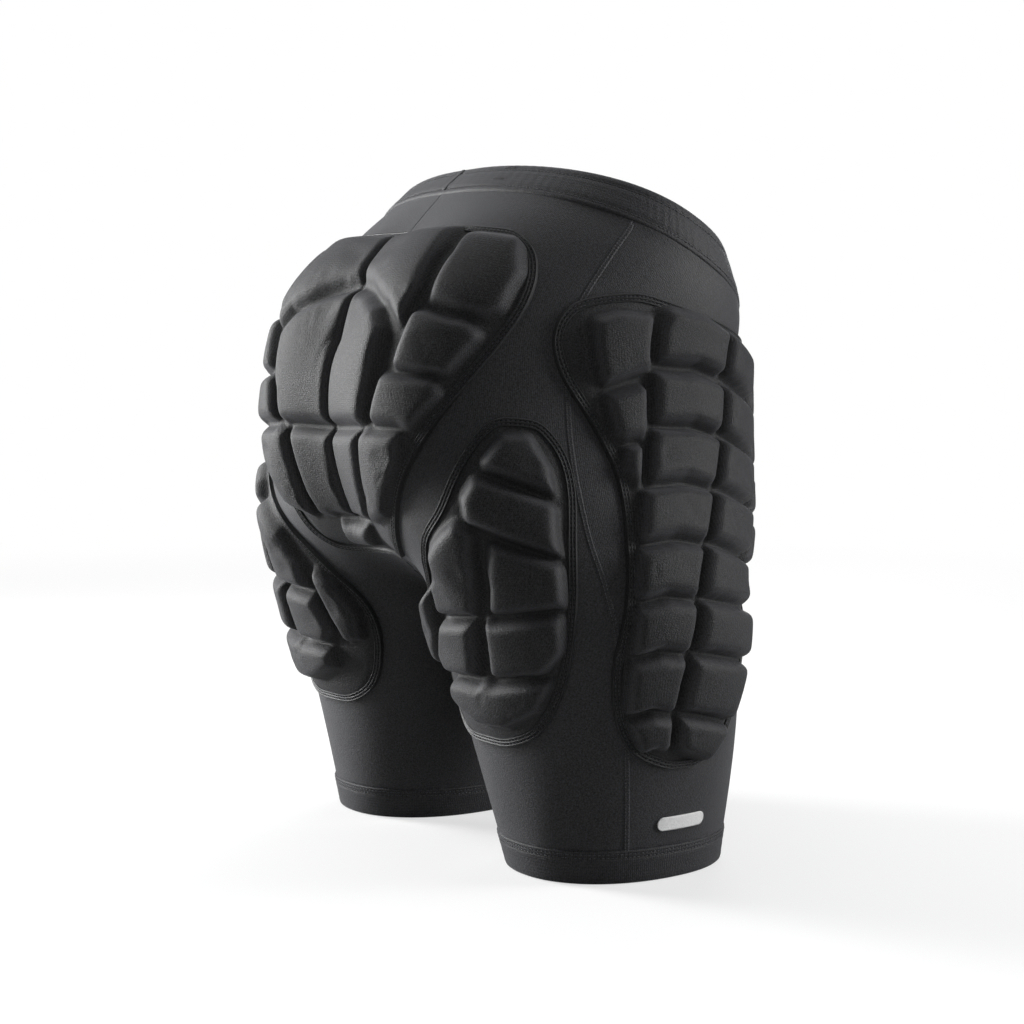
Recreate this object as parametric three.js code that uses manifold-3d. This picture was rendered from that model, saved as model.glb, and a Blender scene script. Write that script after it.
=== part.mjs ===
// Padded impact shorts, rebuilt as an assembly of sewn and moulded pieces.
// Millimetres, +Z up. The wearer faces -Y, the wearer's left is +X, and the hems stand on z = 0.

import * as THREE from 'three';
import { LoftGeometry } from 'three/addons/geometries/LoftGeometry.js';
import { mergeVertices } from 'three/addons/utils/BufferGeometryUtils.js';
import Module from 'manifold-3d';

const wasm = await Module();
wasm.setup();

// ---------------------------------------------------------------- dimensions

const LEFT = 1;
const RIGHT = -1;

const HEM_TOP = 20;            // height of the folded hem band
const SEAM_LEVEL = 362;        // waistband seam, measured at the middle of the body
const RIM_LEVEL = 386;         // waist rim
const SEAM_GAP = 0.3;          // clearance between pieces that are sewn edge to edge
const FABRIC = 1.2;            // thickness of the stretch knit
const BAND = 3.4;              // thickness of the folded waistband
const HEM = 2.2;               // thickness of the folded hem
const PROUD = 0.6;             // how far the bands stand out from the panels
const RIM_FOLD = 1.6;          // cloth folded over the top of the elastic
const ELASTIC = 1;             // thickness of the elastic
const ELASTIC_INSET = 2;       // elastic above the waistband seam
const ELASTIC_DROP = 3;        // elastic below the rim
const SLOT_OVERRUN = 4;        // the slot for the elastic opens below the casing
const ROUNDNESS = 2.2;         // exponent of the superellipse body section
const CLEFT = 30;              // half width over which left and right flow into each other
const DIMPLE = 10;             // depth drawn in between the two sides of the seat
const DIMPLE_WIDTH = 45;
const DIMPLE_BOTTOM = 185;     // levels where the dimple starts and ends
const DIMPLE_TOP = 372;
const DIMPLE_RISE = 30;        // levels it takes to reach its depth, and to lose it again
const DIMPLE_FADE = 45;
const DIMPLE_REACH = 50;       // distance behind the middle where it is at its full depth
const SMALL_OF_BACK = 300;     // level where the back is drawn in furthest
const SMALL_DIMPLE = 7;
const SMALL_SPAN = 22;
const RING = 28;               // points around one leg
const BRIDGE_LANES = 4;        // steps across the bridge between the legs
const OVERRUN = 6;             // an inner form reaches past the ends of its outer form
const FAR = 400;               // beyond the body on every side
const WEDGE_REACH = 12;        // a cutting wedge reaches this far off the body surface
const WEDGE_ROWS = 7;
const WEDGE_LANES = 4;
const WELD = 1e-4;             // corners closer than this are one corner
const SLIVER = 0.02;           // details smaller than this are cleaned away after cutting

const SIDE_REAR = 25;          // rear edge of the side panel, degrees from straight outwards
const SIDE_FRONT = -75;        // front edge of the side panel
const GUSSET_BOTTOM = 112;
const GUSSET_TOP = 206;
const GUSSET_HALF_WIDTH = 24;
const GUSSET_FRONT = -64;
const GUSSET_MIDDLE = 8;
const GUSSET_BACK = 82;

const PAD_BASE = 1.15;         // pad underside above the knit
const PAD_TOP = 12.5;          // pad height above the knit
const PAD_RIM = 2;             // cover height at its outer edge
const SKIN = 1.2;              // thickness of the pad cover
const CORE_GAP = 2;            // clearance above the foam core
const CORE_INSET = 2.8;        // how far the foam stays inside the outline of the cover
const CORE_BASE = 2.9;         // foam underside above the knit
const CORE_RIM = 3.4;          // foam height at its outer edge
const HOLLOW_EDGE = 1.3;       // extra inset of an inner layer where its flank starts
const FLANK = 4;               // run of the sloping outer flank of a pad
const DEGREES_PER_MM = 0.55;   // around a leg

const BINDING_GAP = 2.7;
const BINDING_WIDTH = 4;
const BINDING_BASE = 2.1;
const BINDING_TOP = 3.9;
const BINDING_STEPS = 36;

// Body sections, from hem to waist: level, outward reach, inward reach past the middle,
// centre of depth, depth in front, depth behind, rise per millimetre towards the back.
const BODY = [
  [0, 154, -45, -7, 66, 68, 0],
  [85, 168, -18, -4, 79, 84, 0],
  [150, 177, -6, 8, 89, 88, 0],
  [176, 176, 7, 13, 91, 93, 0.02],
  [205, 170, 57, 10, 105, 113, 0.03],
  [262, 150, 93, -6, 109, 143, 0.12],
  [316, 147, 116, -10, 110, 133, 0.19],
  [345, 148, 140, -22, 104, 104, 0.36],
  [358, 146, 146, -30, 90, 88, 0.5],
  [388, 137, 137, -33, 72, 66, 0.5],
];

// Pad outlines: level, then the two edges. Hip and thigh edges are degrees around the leg
// (0 is outwards, 90 is straight back), seat edges are millimetres from the middle.
const HIP_OUTLINE = [
  [70, 7, -5], [79, 20, -17], [93, 26, -25], [110, 28, -31], [128, 27, -38],
  [146, 23, -46], [163, 18, -52], [181, 14.5, -56], [204, 12.5, -60], [225, 12.5, -62],
  [240, 14, -64], [258, 18, -66], [287, 26, -68], [309, 28, -67], [321, 24, -62], [332, 8, -48],
];
const THIGH_OUTLINE = [
  [82, 104, 80], [88, 114, 67], [98, 121, 59], [114, 125, 52], [131, 126, 47], [150, 121, 43],
  [168, 106, 38.5], [182, 94, 35], [195, 83, 31.5], [212, 68, 28.5], [228, 59, 27],
  [243, 51, 28], [252, 46, 31], [258, 41, 34],
];
const SEAT_OUTLINE = [
  [185, 40], [191, 54], [199, 60], [210, 64], [222, 71], [233, 79], [243, 87], [258, 97],
  [272, 105], [291, 114], [306, 119], [318, 120.5], [330, 117], [338, 109], [345, 92],
];

const MARK_LEVEL = 34;
const MARK_HEIGHT = 9;
const MARK_FROM = 10;           // degrees
const MARK_TO = -14;
const MARK_BASE = 0.5;
const MARK_TOP = 0.9;

// ------------------------------------------------------------ mesh utilities

function isInsideOut(geometry) {
  const position = geometry.getAttribute('position');
  const index = geometry.getIndex();
  const corner = [new THREE.Vector3(), new THREE.Vector3(), new THREE.Vector3()];
  let volume = 0;
  for (let i = 0; i < index.count; i += 3) {
    corner.forEach((point, k) => point.fromBufferAttribute(position, index.getX(i + k)));
    volume += corner[0].dot(corner[1].cross(corner[2]));
  }
  return volume < 0;
}

// A welded closed geometry, as a solid for joining and cutting.
function toSolid(geometry) {
  const plain = new THREE.BufferGeometry().copy(geometry);
  plain.deleteAttribute('normal');
  plain.deleteAttribute('uv');
  const welded = mergeVertices(plain, WELD);
  const triangles = Uint32Array.from(welded.getIndex().array);
  if (isInsideOut(welded)) {
    for (let i = 0; i < triangles.length; i += 3) {
      [triangles[i + 1], triangles[i + 2]] = [triangles[i + 2], triangles[i + 1]];
    }
  }
  const mesh = new wasm.Mesh({
    numProp: 3,
    vertProperties: Float32Array.from(welded.getAttribute('position').array),
    triVerts: triangles,
  });
  return new wasm.Manifold(mesh);
}

function toGeometry(solid) {
  const mesh = solid.simplify(SLIVER).getMesh();
  const geometry = new THREE.BufferGeometry();
  geometry.setAttribute('position', new THREE.BufferAttribute(mesh.vertProperties, 3));
  geometry.setIndex(new THREE.BufferAttribute(mesh.triVerts, 1));
  geometry.computeVertexNormals();
  return geometry;
}

const centreOf = (ring) => ring.reduce((sum, point) => sum.add(point), new THREE.Vector3())
  .divideScalar(ring.length);

// Whether a ring turns counterclockwise when seen from the far end of its loft.
function turnsWithLoft(sections) {
  const [ring, next] = sections;
  const centre = centreOf(ring);
  const normal = new THREE.Vector3();
  ring.forEach((point, i) => {
    const following = ring[(i + 1) % ring.length];
    const arm = new THREE.Vector3().subVectors(point, centre);
    normal.add(arm.cross(new THREE.Vector3().subVectors(following, centre)));
  });
  return normal.dot(centreOf(next).sub(centre)) > 0;
}

function loftSolid(sections) {
  const rings = turnsWithLoft(sections) ? sections : sections.map((ring) => [...ring].reverse());
  return toSolid(new LoftGeometry(rings, { capStart: true, capEnd: true }));
}

// A band that runs around a closed path: its last section is its first again.
const hoopSolid = (sections) => toSolid(new LoftGeometry([...sections, sections[0]]));

function boxSolid(minimum, maximum) {
  const size = new THREE.Vector3().subVectors(maximum, minimum);
  const geometry = new THREE.BoxGeometry(size.x, size.y, size.z);
  const centre = new THREE.Vector3().addVectors(minimum, maximum).multiplyScalar(0.5);
  geometry.translate(centre.x, centre.y, centre.z);
  return toSolid(geometry);
}

// Smooth curve through a table whose rows start with the level.
function smoothTable(rows) {
  const levels = rows.map((row) => row[0]);
  const values = rows.flatMap((row) => row.slice(1));
  const width = rows[0].length - 1;
  const curve = new THREE.CubicInterpolant(levels, values, width, new Float64Array(width));
  const lowest = levels[0];
  const highest = levels[levels.length - 1];
  return (level) => Array.from(curve.evaluate(Math.min(Math.max(level, lowest), highest)));
}

// --------------------------------------------------------------- body surface

const bodySection = smoothTable(BODY);

const signedPower = (value, power) => Math.sign(value) * Math.abs(value) ** power;

const { smoothstep } = THREE.MathUtils;

// Depth at a place on the body, drawn in where the two sides of the seat meet.
function dimpled(x, y, middle, level) {
  const span = smoothstep(level, DIMPLE_BOTTOM, DIMPLE_BOTTOM + DIMPLE_RISE)
    * (1 - smoothstep(level, DIMPLE_TOP - DIMPLE_FADE, DIMPLE_TOP));
  const small = Math.exp(-(((level - SMALL_OF_BACK) / SMALL_SPAN) ** 2));
  const drawnIn = (DIMPLE * span + SMALL_DIMPLE * small) * smoothstep(y - middle, 0, DIMPLE_REACH);
  return y - drawnIn * Math.exp(-((x / DIMPLE_WIDTH) ** 2));
}

// A point on one leg's outer surface, moved outwards by `grow`.
function legPoint(side, degrees, level, grow = 0) {
  const [reach, inner, middle, front, back, tilt] = bodySection(level);
  const angle = THREE.MathUtils.degToRad(degrees);
  const across = signedPower(Math.cos(angle), 2 / ROUNDNESS);
  const along = signedPower(Math.sin(angle), 2 / ROUNDNESS);
  const x = (reach - inner) / 2 + ((reach + inner) / 2 + grow) * across;
  const depth = ((along > 0 ? back : front) + grow) * along;
  const y = dimpled(x, middle + depth, middle, level);
  return new THREE.Vector3(side * x, y, level + tilt * (y - middle));
}

// A point on the back or front surface over both legs, rounded across the middle.
function trunkPoint(x, level, towardsBack, grow = 0) {
  const [reach, inner, middle, front, back, tilt] = bodySection(level);
  const distance = Math.abs(x);
  const soft = distance < CLEFT ? distance ** 2 / (2 * CLEFT) + CLEFT / 2 : distance;
  const share = Math.min(Math.abs(soft - (reach - inner) / 2) / ((reach + inner) / 2 + grow), 1);
  const depth = (1 - share ** ROUNDNESS) ** (1 / ROUNDNESS);
  const reached = towardsBack ? (back + grow) * depth : -(front + grow) * depth;
  const y = dimpled(x, middle + reached, middle, level);
  return new THREE.Vector3(x, y, level + tilt * (y - middle));
}

const legChart = (side) => (u, level) => legPoint(side, u, level);
const seatChart = (u, level) => trunkPoint(u, level, true);

// A point at height w above a chart, along the surface normal.
function above(chart, u, level, w) {
  const point = chart(u, level);
  const alongU = chart(u + 0.5, level).sub(chart(u - 0.5, level));
  const alongLevel = chart(u, level + 1).sub(chart(u, level - 1));
  const normal = alongU.cross(alongLevel).normalize();
  const [reach, inner, middle] = bodySection(level);
  const axisX = Math.sign(point.x) * (reach - inner) / 2;
  const outward = new THREE.Vector3(point.x - (chart === seatChart ? point.x : axisX), point.y - middle, 0);
  if (normal.dot(outward) < 0) normal.negate();
  return point.addScaledVector(normal, w);
}

// ---------------------------------------------------------------- shell knit

function legRing(side, level, grow) {
  const ring = [];
  for (let i = 0; i < RING; i += 1) {
    ring.push(legPoint(side, (360 * i) / RING, level, grow));
  }
  return ring;
}

const legLoft = (side, levels, grow) => loftSolid(levels.map((level) => legRing(side, level, grow)));

// The middle body that bridges the two legs above the crotch.
function bridgeLoft(levels, grow) {
  const sections = levels.map(([level, share]) => {
    const ring = [];
    const [, , middle] = bodySection(level);
    const places = spread(-CLEFT, CLEFT, BRIDGE_LANES);
    places.forEach((x) => ring.push(trunkPoint(x, level, true, grow)));
    places.reverse().forEach((x) => ring.push(trunkPoint(x, level, false, grow)));
    ring.forEach((point) => { point.y = middle + (point.y - middle) * share; });
    return ring;
  });
  return loftSolid(sections);
}

const SHELL_LEVELS = [70, 115, 150, 168, 186, 210, 240, 275, 308, 330, 347];
const CROTCH_LEVEL = 157;        // lowest point between the legs
const CROTCH_SHARE = 0.6;        // share of the full depth that the bridge has there

function shellSolid() {
  const bottom = HEM_TOP + SEAM_GAP;
  const top = SEAM_LEVEL - SEAM_GAP;
  const outerLevels = [bottom, ...SHELL_LEVELS, top];
  const innerLevels = [bottom - OVERRUN, bottom, ...SHELL_LEVELS, top, top + OVERRUN];
  const bridge = SHELL_LEVELS.filter((level) => level > CROTCH_LEVEL).map((level) => [level, 1]);
  const outer = legLoft(RIGHT, outerLevels, 0)
    .add(legLoft(LEFT, outerLevels, 0))
    .add(bridgeLoft([[CROTCH_LEVEL, CROTCH_SHARE], ...bridge, [top, 1]], 0));
  const inner = legLoft(RIGHT, innerLevels, -FABRIC)
    .add(legLoft(LEFT, innerLevels, -FABRIC))
    .add(bridgeLoft(
      [[CROTCH_LEVEL + FABRIC, CROTCH_SHARE], ...bridge, [top, 1], [top + OVERRUN, 1]],
      -FABRIC,
    ));
  return outer.subtract(inner);
}

// ------------------------------------------------------------- surface sheets

// A closed sheet over a chart, from base to top above the surface.
function sheetSolid(chart, levels, places, base, top) {
  return loftSolid(levels.map((level) => {
    const under = places.map((u) => above(chart, u, level, base));
    const over = places.map((u) => above(chart, u, level, top));
    return [...under, ...over.reverse()];
  }));
}

const spread = (from, to, steps) => Array.from({ length: steps + 1 }, (_, i) => from + ((to - from) * i) / steps);

// The volume that cuts the side panel, and its two seams, out of the shell.
function sideWedge(side, margin) {
  const levels = spread(HEM_TOP - OVERRUN, SEAM_LEVEL + OVERRUN, WEDGE_ROWS);
  const edge = margin * DEGREES_PER_MM;
  const places = spread(SIDE_REAR + edge, SIDE_FRONT - edge, WEDGE_LANES);
  return sheetSolid(legChart(side), levels, places, -WEDGE_REACH, WEDGE_REACH);
}

function gussetPrism(margin) {
  const shape = new THREE.Shape();
  shape.moveTo(0, GUSSET_FRONT - margin);
  shape.lineTo(GUSSET_HALF_WIDTH + margin, GUSSET_MIDDLE);
  shape.lineTo(0, GUSSET_BACK + margin);
  shape.lineTo(-GUSSET_HALF_WIDTH - margin, GUSSET_MIDDLE);
  shape.closePath();
  const depth = GUSSET_TOP - GUSSET_BOTTOM + 2 * margin;
  const geometry = new THREE.ExtrudeGeometry(shape, { depth, bevelEnabled: false });
  geometry.translate(0, 0, GUSSET_BOTTOM - margin);
  return toSolid(geometry);
}

// Everything on one side of the body between two depths, clear of the centre seams.
function sideBlock(side, fromDepth, toDepth) {
  const half = SEAM_GAP / 2;
  return boxSolid(
    new THREE.Vector3(side > 0 ? half : -FAR, fromDepth, -FAR),
    new THREE.Vector3(side > 0 ? FAR : -half, toDepth, 2 * FAR),
  );
}

function cutShell() {
  const shell = shellSolid();
  const half = SEAM_GAP / 2;
  const aroundGusset = shell.subtract(gussetPrism(SEAM_GAP));
  const pieces = { crotch_gusset: shell.intersect(gussetPrism(0)) };
  for (const [side, name] of [[RIGHT, 'right'], [LEFT, 'left']]) {
    const mine = aroundGusset.intersect(sideBlock(side, -FAR, FAR));
    pieces[`side_panel_${name}`] = mine.intersect(sideWedge(side, 0));
    const rest = mine.subtract(sideWedge(side, SEAM_GAP));
    pieces[`back_panel_${name}`] = rest.intersect(sideBlock(side, half, FAR));
    pieces[`front_panel_${name}`] = rest.intersect(sideBlock(side, -FAR, -half));
  }
  return pieces;
}

// ------------------------------------------------------------ waist and hems

function bandSolid(side, levels, outer, inner) {
  const sections = [];
  for (let i = 0; i < RING; i += 1) {
    const degrees = (360 * i) / RING;
    const under = levels.map((level) => legPoint(side, degrees, level, inner));
    const over = levels.map((level) => legPoint(side, degrees, level, outer));
    sections.push([...under, ...over.reverse()]);
  }
  return hoopSolid(sections);
}

const BAND_MIDDLE = (SEAM_LEVEL + RIM_LEVEL) / 2;
const ELASTIC_BOTTOM = SEAM_LEVEL + ELASTIC_INSET;

function waistbandCasing() {
  const leaf = (BAND - ELASTIC) / 2 - SEAM_GAP;
  const whole = bandSolid(RIGHT, [SEAM_LEVEL, BAND_MIDDLE, RIM_LEVEL], PROUD, PROUD - BAND);
  const levels = [SEAM_LEVEL - SLOT_OVERRUN, ELASTIC_BOTTOM, BAND_MIDDLE, RIM_LEVEL - RIM_FOLD];
  return whole.subtract(bandSolid(RIGHT, levels, PROUD - leaf, PROUD - BAND + leaf));
}

function waistbandElastic() {
  const middle = PROUD - BAND / 2;
  const levels = [ELASTIC_BOTTOM, BAND_MIDDLE, RIM_LEVEL - ELASTIC_DROP];
  return bandSolid(RIGHT, levels, middle + ELASTIC / 2, middle - ELASTIC / 2);
}

const hemBand = (side) => bandSolid(side, [0, HEM_TOP], PROUD, PROUD - HEM);

// ----------------------------------------------------------------------- pads

// Positions across one direction of a pad: its edge, the top of its sloping flank, even steps
// over the crown, and the same again. "unit" is one millimetre in the units of the positions.
function padLines(from, to, inset, unit, steps) {
  const towards = unit * Math.sign(to - from);
  const width = Math.abs(to - from) / unit;
  const edge = Math.min(inset > 0 ? inset + HOLLOW_EDGE : 0, width / 4) * towards;
  const shoulder = Math.min(FLANK + inset, width / 3) * towards;
  return [from + edge, ...spread(from + shoulder, to - shoulder, steps), to - edge];
}

// One layer of a pad, drawn in by `inset`, as a closed sheet with sloping flanks.
function padLayer(pad, inset, base, top, rim) {
  const ends = [pad.outline[0][0], pad.outline[pad.outline.length - 1][0]];
  const fullLevels = padLines(...ends, 0, 1, pad.rows);
  const levels = padLines(...ends, inset, 1, pad.rows);
  return loftSolid(levels.map((level, row) => {
    const places = padLines(...pad.edges(fullLevels[row]), inset, pad.unit, pad.lanes);
    const last = places.length - 1;
    const under = places.map((u) => above(pad.chart, u, level, base));
    const over = places.map((u, i) => {
      const onEdge = row === 0 || row === levels.length - 1 || i === 0 || i === last;
      return above(pad.chart, u, level, onEdge ? rim : top);
    });
    return [...under, ...over.reverse()];
  }));
}

function padCover(pad) {
  const hollow = padLayer(pad, SKIN, PAD_BASE - SKIN, PAD_TOP - SKIN, PAD_RIM);
  return padLayer(pad, 0, PAD_BASE, PAD_TOP, PAD_RIM).subtract(hollow);
}

function padCore(pad) {
  return padLayer(pad, CORE_INSET, CORE_BASE, PAD_TOP - SKIN - CORE_GAP, CORE_RIM);
}

// A flat tape laid around the outline of a pad.
function padBinding(pad) {
  const corners = [
    ...pad.outline.map(([level, from]) => new THREE.Vector3(from / pad.unit, level, 0)),
    ...pad.outline.map(([level, , to]) => new THREE.Vector3(to / pad.unit, level, 0)).reverse(),
  ];
  const path = new THREE.CatmullRomCurve3(corners, true, 'centripetal');
  const points = path.getSpacedPoints(BINDING_STEPS).slice(0, BINDING_STEPS);
  const turn = THREE.ShapeUtils.isClockWise(points) ? 1 : -1;
  const sections = points.map((point, i) => {
    const before = points[(i + BINDING_STEPS - 1) % BINDING_STEPS];
    const after = points[(i + 1) % BINDING_STEPS];
    const along = new THREE.Vector3().subVectors(after, before).normalize();
    const outward = new THREE.Vector3(-along.y, along.x, 0).multiplyScalar(turn);
    const place = (offset, w) => {
      const moved = point.clone().addScaledVector(outward, offset);
      return above(pad.chart, moved.x * pad.unit, moved.y, w);
    };
    const near = BINDING_GAP;
    const far = BINDING_GAP + BINDING_WIDTH;
    return [place(near, BINDING_BASE), place(far, BINDING_BASE), place((near + far) / 2, BINDING_TOP)];
  });
  return hoopSolid(sections);
}

function hipPad(side) {
  return {
    chart: legChart(side), unit: DEGREES_PER_MM, outline: HIP_OUTLINE, edges: smoothTable(HIP_OUTLINE),
    rows: 12, lanes: 6,
  };
}

function thighPad(side) {
  return {
    chart: legChart(side), unit: DEGREES_PER_MM, outline: THIGH_OUTLINE, edges: smoothTable(THIGH_OUTLINE),
    rows: 9, lanes: 5,
  };
}

function seatPad() {
  const outline = SEAT_OUTLINE.map(([level, x]) => [level, -x, x]);
  return {
    chart: seatChart, unit: 1, outline, edges: smoothTable(outline), rows: 9, lanes: 10,
  };
}

function sideMark() {
  const levels = spread(MARK_LEVEL, MARK_LEVEL + MARK_HEIGHT, 1);
  const places = spread(MARK_FROM, MARK_TO, 6);
  return sheetSolid(legChart(RIGHT), levels, places, MARK_BASE, MARK_TOP);
}

// ------------------------------------------------------------------ materials

const KNIT = { color: 0x1b1b1e, roughness: 0.86, metalness: 0 };
const BAND_KNIT = { color: 0x202023, roughness: 0.82, metalness: 0 };
const ELASTIC_TAPE = { color: 0x2a2a2c, roughness: 0.9, metalness: 0 };
const COVER_KNIT = { color: 0x242427, roughness: 0.72, metalness: 0 };
const FOAM = { color: 0x3a3a3d, roughness: 0.95, metalness: 0 };
const TAPE = { color: 0x161618, roughness: 0.6, metalness: 0 };
const TRANSFER = { color: 0xe6e6e4, roughness: 0.55, metalness: 0 };

// ------------------------------------------------------------------- assembly

const group = new THREE.Group();
group.name = 'padded_impact_shorts';

function addPart(name, solid, look) {
  const mesh = new THREE.Mesh(toGeometry(solid), new THREE.MeshStandardMaterial(look));
  mesh.name = name;
  group.add(mesh);
}

for (const [name, solid] of Object.entries(cutShell())) addPart(name, solid, KNIT);
addPart('waistband_casing', waistbandCasing(), BAND_KNIT);
addPart('waistband_elastic', waistbandElastic(), ELASTIC_TAPE);

function addPad(name, pad) {
  addPart(name.replace('#', 'foam'), padCore(pad), FOAM);
  addPart(name.replace('#', 'cover'), padCover(pad), COVER_KNIT);
  addPart(name.replace('#', 'binding'), padBinding(pad), TAPE);
}

addPad('seat_pad_#', seatPad());
for (const [side, name] of [[RIGHT, 'right'], [LEFT, 'left']]) {
  addPart(`hem_band_${name}`, hemBand(side), BAND_KNIT);
  addPad(`hip_pad_#_${name}`, hipPad(side));
  addPad(`thigh_pad_#_${name}`, thighPad(side));
}
addPart('side_mark', sideMark(), TRANSFER);

// The origin is under the middle of the object's footprint.
const extent = new THREE.Box3().setFromObject(group);
const middleDepth = (extent.min.y + extent.max.y) / 2;
group.children.forEach((mesh) => { mesh.position.y = -middleDepth; });

export default group;
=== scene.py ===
"""Looks of the padded impact shorts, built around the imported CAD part. Runs inside Blender."""
import math

import bmesh
import bpy
import numpy as np
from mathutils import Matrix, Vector


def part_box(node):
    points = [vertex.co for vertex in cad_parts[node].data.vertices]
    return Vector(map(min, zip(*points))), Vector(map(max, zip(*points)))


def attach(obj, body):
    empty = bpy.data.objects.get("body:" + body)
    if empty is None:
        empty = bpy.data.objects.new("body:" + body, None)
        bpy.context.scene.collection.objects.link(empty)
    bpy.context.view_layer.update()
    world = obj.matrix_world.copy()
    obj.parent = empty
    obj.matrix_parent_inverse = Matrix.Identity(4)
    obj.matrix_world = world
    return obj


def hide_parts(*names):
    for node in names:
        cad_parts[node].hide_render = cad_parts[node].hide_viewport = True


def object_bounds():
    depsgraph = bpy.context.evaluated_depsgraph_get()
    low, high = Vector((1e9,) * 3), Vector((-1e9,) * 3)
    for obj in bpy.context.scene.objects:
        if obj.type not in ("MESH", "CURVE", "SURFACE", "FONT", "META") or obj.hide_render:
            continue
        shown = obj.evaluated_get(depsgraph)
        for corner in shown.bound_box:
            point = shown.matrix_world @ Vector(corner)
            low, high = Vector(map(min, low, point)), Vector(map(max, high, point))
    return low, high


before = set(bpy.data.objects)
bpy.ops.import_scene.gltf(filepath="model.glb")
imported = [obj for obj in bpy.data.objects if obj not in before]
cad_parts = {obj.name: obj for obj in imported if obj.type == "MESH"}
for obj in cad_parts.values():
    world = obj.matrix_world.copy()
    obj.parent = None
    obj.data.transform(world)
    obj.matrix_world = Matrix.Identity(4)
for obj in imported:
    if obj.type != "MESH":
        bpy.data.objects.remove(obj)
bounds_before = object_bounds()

# ---- dimensions ----
# All tables are in millimetres and degrees. Levels run from 0 at the hems to RIM at the waist.

MM = 0.001
RIGHT = -1
LEFT = 1
SIDES = ((RIGHT, "right"), (LEFT, "left"))
HEM_TOP = 20.0
SEAM = 362.0
RIM = 386.0

# The body's cross section is a superellipse of this power, rounded within CLEFT of the middle.
ROUNDNESS = 2.2
CLEFT = 30.0

# The hollow between the two sides of the seat, and a second one in the small of the back.
DIMPLE = 10.0
DIMPLE_WIDTH = 45.0
DIMPLE_BOTTOM = 185.0
DIMPLE_RISE = 30.0
DIMPLE_TOP = 372.0
DIMPLE_FADE = 45.0
DIMPLE_REACH = 50.0
SMALL_OF_BACK = 300.0
SMALL_DIMPLE = 7.0
SMALL_SPAN = 22.0

# level, outward reach, inward reach past the middle, centre of depth, front depth, back depth, tilt
BODY = np.array([
    [0, 154, -45, -7, 66, 68, 0],
    [85, 168, -18, -4, 79, 84, 0],
    [150, 177, -6, 8, 89, 88, 0],
    [176, 176, 7, 13, 91, 93, 0.02],
    [205, 170, 57, 10, 105, 113, 0.03],
    [262, 150, 93, -6, 109, 143, 0.12],
    [316, 147, 116, -10, 110, 133, 0.19],
    [345, 148, 140, -22, 100, 104, 0.36],
    [358, 146, 146, -30, 90, 88, 0.5],
    [388, 137, 137, -33, 72, 66, 0.5],
], float)

# Pad outlines: level, then both edges (degrees round the leg, or millimetres from the middle).
HIP_OUTLINE = np.array([
    [70, 7, -5], [79, 20, -17], [93, 26, -25], [110, 28, -31], [128, 27, -38],
    [146, 23, -46], [163, 18, -52], [181, 14.5, -56], [204, 12.5, -60], [225, 12.5, -62],
    [240, 14, -64], [258, 18, -66], [287, 26, -68], [309, 28, -67], [321, 24, -62], [332, 8, -48],
], float)
THIGH_OUTLINE = np.array([
    [82, 104, 80], [88, 114, 67], [98, 121, 59], [114, 125, 52], [131, 126, 47], [150, 121, 43],
    [168, 106, 38.5], [182, 94, 35], [195, 83, 31.5], [212, 68, 28.5], [228, 59, 27],
    [243, 51, 28], [252, 46, 31], [258, 41, 34],
], float)
SEAT_EDGE = [
    [185, 36], [191, 46], [199, 53], [210, 60], [222, 69], [233, 78], [243, 87], [258, 97],
    [272, 105], [291, 114], [306, 119], [318, 120.5], [330, 117], [338, 109], [345, 92],
]
SEAT_OUTLINE = np.array([[level, -x, x] for level, x in SEAT_EDGE], float)


# ---- body surface ----

def through(table, level):
    """Values of a table at each level, on a smooth curve through its rows."""
    levels = table[:, 0]
    values = table[:, 1:]
    level = np.clip(np.asarray(level, float), levels[0], levels[-1])
    right = np.clip(np.searchsorted(levels, level, side="right"), 1, len(levels) - 1)
    left = right - 1
    last = len(levels) - 1
    before = np.where(left > 0, left - 1, right)
    after = np.where(right < last, right + 1, left)
    step = levels[right] - levels[left]
    weight_before = 0.5 * step / (levels[left] - levels[before])
    weight_after = 0.5 * step / (levels[after] - levels[right])
    p = (level - levels[left]) / step
    s_before = -weight_before * p**3 + 2 * weight_before * p**2 - weight_before * p
    s_left = (1 + weight_before) * p**3 + (-1.5 - 2 * weight_before) * p**2
    s_left = s_left + (weight_before - 0.5) * p + 1
    s_right = (-1 - weight_after) * p**3 + (1.5 + weight_after) * p**2 + 0.5 * p
    s_after = weight_after * p**3 - weight_after * p**2
    total = s_before[..., None] * values[before] + s_left[..., None] * values[left]
    return total + s_right[..., None] * values[right] + s_after[..., None] * values[after]


def body_rows(level):
    """Reach, inner reach, middle, front, back and tilt of the body form at each level."""
    return np.moveaxis(through(BODY, level), -1, 0)


def ease(value):
    """0 to 1 as value goes from 0 to 1, level at both ends."""
    value = np.clip(value, 0, 1)
    return value * value * (3 - 2 * value)


def signed_power(value, power):
    return np.sign(value) * np.abs(value) ** power


def dimpled(x, y, middle, level):
    """Depth drawn in between the two sides of the seat."""
    span = ease((level - DIMPLE_BOTTOM) / DIMPLE_RISE) * ease((DIMPLE_TOP - level) / DIMPLE_FADE)
    behind = ease((y - middle) / DIMPLE_REACH)
    drawn_in = DIMPLE * span + SMALL_DIMPLE * np.exp(-(((level - SMALL_OF_BACK) / SMALL_SPAN) ** 2))
    return y - drawn_in * behind * np.exp(-((x / DIMPLE_WIDTH) ** 2))


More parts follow.
